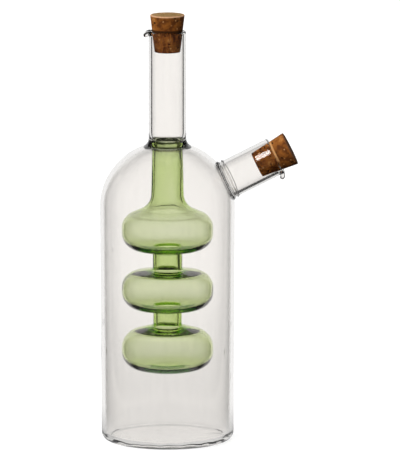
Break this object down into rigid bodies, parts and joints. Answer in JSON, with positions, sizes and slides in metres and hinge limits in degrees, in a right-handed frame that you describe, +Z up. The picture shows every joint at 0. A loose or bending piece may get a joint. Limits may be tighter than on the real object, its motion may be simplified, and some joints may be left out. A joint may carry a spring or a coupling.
{
  "type": "oil and vinegar cruet",
  "caption": "Clear glass bottle with a corked upright neck, a corked slanting spout and a sealed inner flask of green glass, for oil and vinegar.",
  "frame": {"origin": "centre of the flat base, in the plane that the bottle stands on", "axes": "+Z up along the bottle's axis, +X towards the side that the spout leans out to, XZ is the plane of symmetry"},
  "size_m": [0.1187, 0.081, 0.258],
  "materials": {
    "clear_glass": "gloss",
    "green_glass": "gloss",
    "cork": "matte"
  },
  "bodies": {
    "glass": {"outer_bottle": "clear_glass", "neck_tube": "clear_glass", "side_spout": "clear_glass", "inner_flask": "green_glass"},
    "neck_cork": {"neck_stopper": "cork"},
    "spout_cork": {"spout_stopper": "cork"}
  },
  "joints": [
    {"name": "neck_stopper_pull", "type": "slide", "parent": "glass", "child": "neck_cork", "axis": [0, 0, 1], "range_m": [0, 0.03]},
    {"name": "spout_stopper_pull", "type": "slide", "parent": "glass", "child": "spout_cork", "axis": [0.8926, 0, 0.4509], "range_m": [0, 0.03]}
  ]
}
